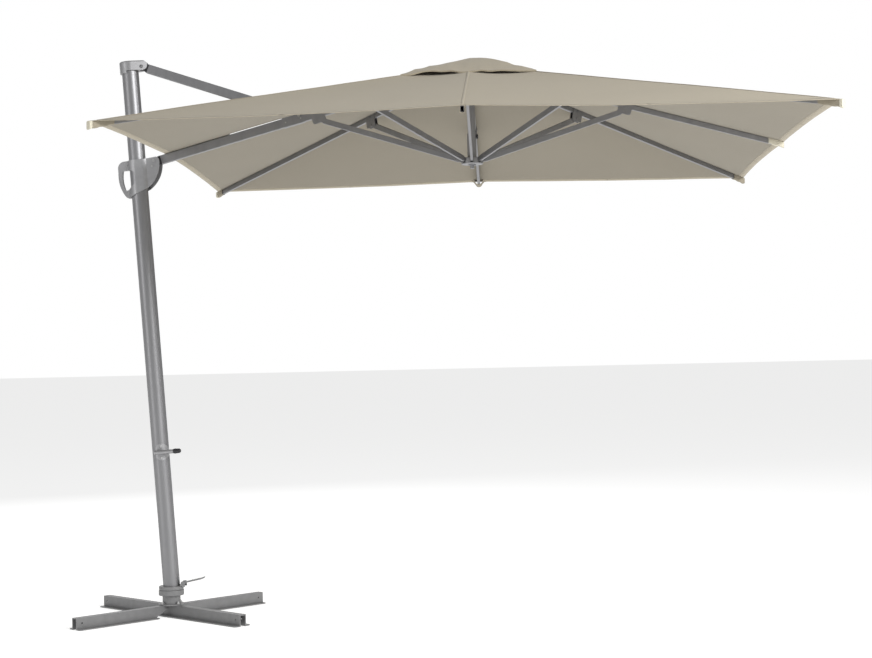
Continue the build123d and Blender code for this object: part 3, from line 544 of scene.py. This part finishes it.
def hemPiece(turn, start, end, label, body):
    cut = canopyCut
    wide = cut["hemWide"] / canopyHalf
    thick = cut["hemThick"]
    profile = (
        (1 - wide, thick * 0.6), (1 - wide * 0.5, thick), (1 - wide * 0.08, thick), (1.0007, thick * 0.5),
        (1.0007, -thick * 0.5), (1 - wide * 0.08, -thick), (1 - wide * 0.5, -thick), (1 - wide, -thick * 0.6),
    )

    def pointAt(s, k):
        share, lift = profile[k]
        return fabricPoint(turn, start + (end - start) * s, share, lift)

    def uvAt(s, k):
        reach = (end - start) * s * canopyHalf
        return reach, (1 - profile[k][0]) * canopyHalf

    band = ringBand("canopyHem" + label, pointAt, uvAt, 60, hemLook, body)
    squashToRib(band)
    return band


def seamPiece(turn, label, body):
    cut = canopyCut
    half = cut["seamWide"] / 2
    a = radians(turn)
    across = Vector((-sin(a), cos(a), 0))
    profile = (  # share of the half width, height over the cloth
        (-1, 0.0004), (-0.8, 0.0016), (0, 0.0019), (0.8, 0.0016),
        (1, 0.0004), (0.8, -0.0004), (0, -0.0006), (-0.8, -0.0004),
    )
    start, end = ventShare, 1 - cut["hemWide"] / canopyHalf * 0.9

    def pointAt(s, k):
        share = start + (end - start) * s
        offset, lift = profile[k]
        base = fabricPoint(turn, 0.0, share, lift)
        return base + across * offset * half

    def uvAt(s, k):
        return (end - start) * s * fabricLines[turn][2], (profile[k][0] + 1) * half

    return ringBand("canopySeam" + label, pointAt, uvAt, 90, seamLook, body)


pocketCut = {  # length, half width, depth at the tip, depth at the mouth, cream tape, cream cloth
    "front_right": (0.110, 0.0115, 0.033, 0.030, True, False),
    "front_left": (0.110, 0.0115, 0.033, 0.030, True, False),
    "back_right": (0.095, 0.0115, 0.032, 0.030, False, False),
    "back_left": (0.052, 0.0115, 0.032, 0.030, True, False),
    "right": (0.074, 0.0105, 0.030, 0.029, False, True),
    "front": (0.050, 0.0110, 0.030, 0.029, False, False),
    "back": (0.040, 0.0460, 0.033, 0.031, False, False),
}
pocketEdge = {
    "wall": 0.0011, "above": -0.0002, "tape": 0.014, "tapeGrow": 0.0012, "corners": 24, "stations": 14,
    "narrow": 0.02, "round": 0.45, "archHalf": 0.024, "patchTop": 0.0008, "patchDrop": 0.0022,
}


def pocketShape(angle, wide, deep):
    # Rounded box when narrow, an arch that hangs from a flat patch when wide
    side, level = cos(angle), sin(angle)
    edge = pocketEdge
    if wide < edge["narrow"]:
        across = wide * (abs(side) ** edge["round"]) * (1 if side > 0 else -1)
        down = 0.5 - 0.5 * (abs(level) ** edge["round"]) * (1 if level > 0 else -1)
        return across, edge["above"] - down * deep
    across = wide * side
    hang = max(0.0, 1 - (across / edge["archHalf"]) ** 2) ** 0.5
    arch = edge["patchDrop"] + (deep - edge["patchDrop"]) * hang
    return across, edge["above"] - (edge["patchTop"] if level > 0 else arch)


def pocketPiece(turn, rib):
    length, wide, deepTip, deepMouth, taped, cream = pocketCut[rib]
    a = radians(turn)
    outward, across = Vector((cos(a), sin(a), 0)), Vector((-sin(a), cos(a), 0))
    reach = fabricLines[turn][2]

    def spot(out, angle, grow, wideNow, deepNow):
        offset, lift = pocketShape(angle, wideNow + grow, deepNow + 2 * grow)
        base = ribPoint(turn, out / reach)
        sag = 0.0012 * sin(out * 150 + turn) if wideNow < pocketEdge["narrow"] else 0
        return base + across * offset + Vector((0, 0, lift + grow + (sag if lift < -0.01 else 0)))

    def tube(name, start, end, grow, look, closed):
        corners, stations = pocketEdge["corners"], pocketEdge["stations"]
        shape = bmesh.new()
        uv = shape.loops.layers.uv.new("UVMap")
        walls = []
        for inset in ((0.0,) if closed else (0.0, -pocketEdge["wall"])):
            rings = []
            for s in range(stations + 1):
                share = s / stations
                out = start + (end - start) * share
                mouth = min(1.0, max(0.0, (reach - out) / length))
                deepNow = deepTip + (deepMouth - deepTip) * mouth
                pinch = 1 - 0.10 * sin(pi * mouth) if wide < pocketEdge["narrow"] else 1 - 0.35 * mouth
                ring = [
                    shape.verts.new(spot(out, 2 * pi * k / corners, grow + inset, wide * pinch, deepNow))
                    for k in range(corners)
                ]
                rings.append(ring)
            walls.append(rings)
            for first, second in zip(rings, rings[1:]):
                for k in range(corners):
                    following = (k + 1) % corners
                    shape.faces.new((first[k], second[k], second[following], first[following]))
        if closed:
            shape.faces.new(walls[0][0])
            shape.faces.new(walls[0][-1])
        else:
            for ending in (0, -1):
                outer, inner = walls[0][ending], walls[1][ending]
                for k in range(corners):
                    following = (k + 1) % corners
                    shape.faces.new((outer[k], outer[following], inner[following], inner[k]))
        bmesh.ops.recalc_face_normals(shape, faces=shape.faces)
        for face in shape.faces:
            face.smooth = True
            for loop in face.loops:
                loop[uv].uv = (loop.vert.co.dot(outward), loop.vert.co.dot(across) + loop.vert.co.z)
        mesh = bpy.data.meshes.new(name)
        shape.to_mesh(mesh)
        shape.free()
        piece = newPiece(name, mesh, look, "rib_" + rib)
        bpy.context.view_layer.objects.active = piece
        piece.select_set(True)
        bpy.ops.object.shade_smooth_by_angle(angle=radians(50))
        piece.select_set(False)
        return piece

    label = "".join(word.capitalize() for word in rib.split("_"))
    look = tapeLook if cream else pocketLook
    made = [tube("canopyPocket" + label, reach - length, reach - 0.001, 0.0, look, False)]
    if taped:
        start, end = reach - 0.0065, reach + pocketEdge["tape"] - 0.008
        made.append(tube("canopyTape" + label, start, end, pocketEdge["tapeGrow"], tapeLook, True))
    return made


def makeCanopy():
    made = []
    for turn, rib in ribNames.items():
        label = "".join(word.capitalize() for word in rib.split("_"))
        if turn == 180:
            halves = ((-0.5, 0.0, "LeftBack", 1), (0.0, 0.5, "LeftFront", -1))
        else:
            halves = ((-0.5, 0.5, label, 0),)
        for start, end, part, side in halves:
            # across grows with the azimuth, which at the left rib runs towards the front
            body = "arm" if turn == 180 else "rib_" + rib
            piece, flat, area = clothPiece(turn, start, end, part, body)
            hem = hemPiece(turn, start, end, part, body)
            extras = [hem]
            if turn != 180:
                extras.append(seamPiece(turn, part, body))
                extras += pocketPiece(turn, rib)
            made.append((piece, flat, area, extras, "arm_tube" if turn == 180 else "rib_" + rib))
    for n, (piece, flat, area, extras, holder) in enumerate(made):
        if n == 0:
            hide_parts("canopy")
        cut = min(area, flat[0] * flat[1])
    return made


canopyPieces = makeCanopy()
print("canopy ready:", len(canopyPieces), "lengths of cloth")


# ---- vent cap ----
ventCut = {
    "half": 0.318, "crown": 0.024, "liftMiddle": 0.017, "liftRib": 0.004, "rings": 30, "steps": 26,
    "crumple": 0.012, "thick": 0.0011, "hem": 0.016, "peak": (0.12, -0.03, 0.016), "peakWide": 0.13,
    "dome": 0.008, "wander": 0.006, "flatShare": 1.12,
}


def ventPoint(q, turn, across, lift=0.0):
    cut = ventCut
    share = cut["half"] / canopyHalf
    rim = fabricPoint(turn, across, share)
    top = Vector((poleX, 0, ribPoint(0, 0).z + cut["crown"]))
    spread = 4 * abs(across) * (1 - abs(across))
    loose = 0.7 + 0.6 * noise.noise(Vector((rim.x * 5, rim.y * 5, 4.0)))
    leftSide = 0.5 - 0.5 * max(-1.0, min(1.0, (rim.x - poleX) / 0.2))
    rim.z += cut["liftRib"] + (cut["liftMiddle"] - cut["liftRib"]) * spread * loose * (0.7 + 1.1 * leftSide)
    point = top.lerp(rim, q)
    point.z += cut["dome"] * sin(pi * q) + lift
    peakX, peakY, peakRise = cut["peak"]
    away = hypot(point.x - poleX - peakX, point.y - peakY)
    point.z += peakRise * exp(-((away / cut["peakWide"]) ** 2))
    where = Vector((point.x * 7, point.y * 7, 2.0))
    ridge = 0.5 - abs(noise.noise(where))
    point.z += cut["crumple"] * ridge * (0.25 + 0.75 * q) + 0.004 * noise.noise(where * 2.7) * q
    point.x += cut["wander"] * noise.noise(where * 1.3 + Vector((9, 0, 0))) * q
    point.y += cut["wander"] * noise.noise(where * 1.3 + Vector((0, 9, 0))) * q
    return point


def makeVentCap():
    cut = ventCut
    mesh = bpy.data.meshes.new("ventCap")
    shape = bmesh.new()
    uv = shape.loops.layers.uv.new("UVMap")
    around = []
    for turn in sorted(ribNames):
        around += [(turn, k / cut["steps"]) for k in range(cut["steps"])]
    # across runs from this rib towards the next, so 0 to 1 covers the whole panel
    spots = [
        (turn, across) if across <= 0.5 else ((turn + 45) % 360, across - 1)
        for turn, across in around
    ]
    top = shape.verts.new(ventPoint(0, 0, 0.0))
    rings = []
    for r in range(1, cut["rings"] + 1):
        rings.append([shape.verts.new(ventPoint(r / cut["rings"], t, a)) for t, a in spots])
    skirt = []
    for vertex in rings[-1]:
        inward = Vector((poleX - vertex.co.x, -vertex.co.y, 0)).normalized()
        skirt.append(shape.verts.new(vertex.co + inward * 0.004 + Vector((0, 0, -cut["hem"] * 0.35))))
    rings.append(skirt)
    count = len(spots)
    for k in range(count):
        shape.faces.new((top, rings[0][k], rings[0][(k + 1) % count]))
    for inner, outer in zip(rings, rings[1:]):
        for k in range(count):
            following = (k + 1) % count
            shape.faces.new((inner[k], outer[k], outer[following], inner[following]))
    for face in shape.faces:
        face.smooth = True
        for loop in face.loops:
            loop[uv].uv = (loop.vert.co.x, loop.vert.co.y)
    bmesh.ops.recalc_face_normals(shape, faces=shape.faces)
    if sum(f.normal.z for f in shape.faces) < 0:
        bmesh.ops.reverse_faces(shape, faces=shape.faces)
    shape.to_mesh(mesh)
    shape.free()
    piece = newPiece("ventCap", mesh, clothLook, "crown")
    thicken(piece, cut["thick"])
    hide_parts("vent_cap")
    return piece


makeVentCap()
print("vent cap ready")
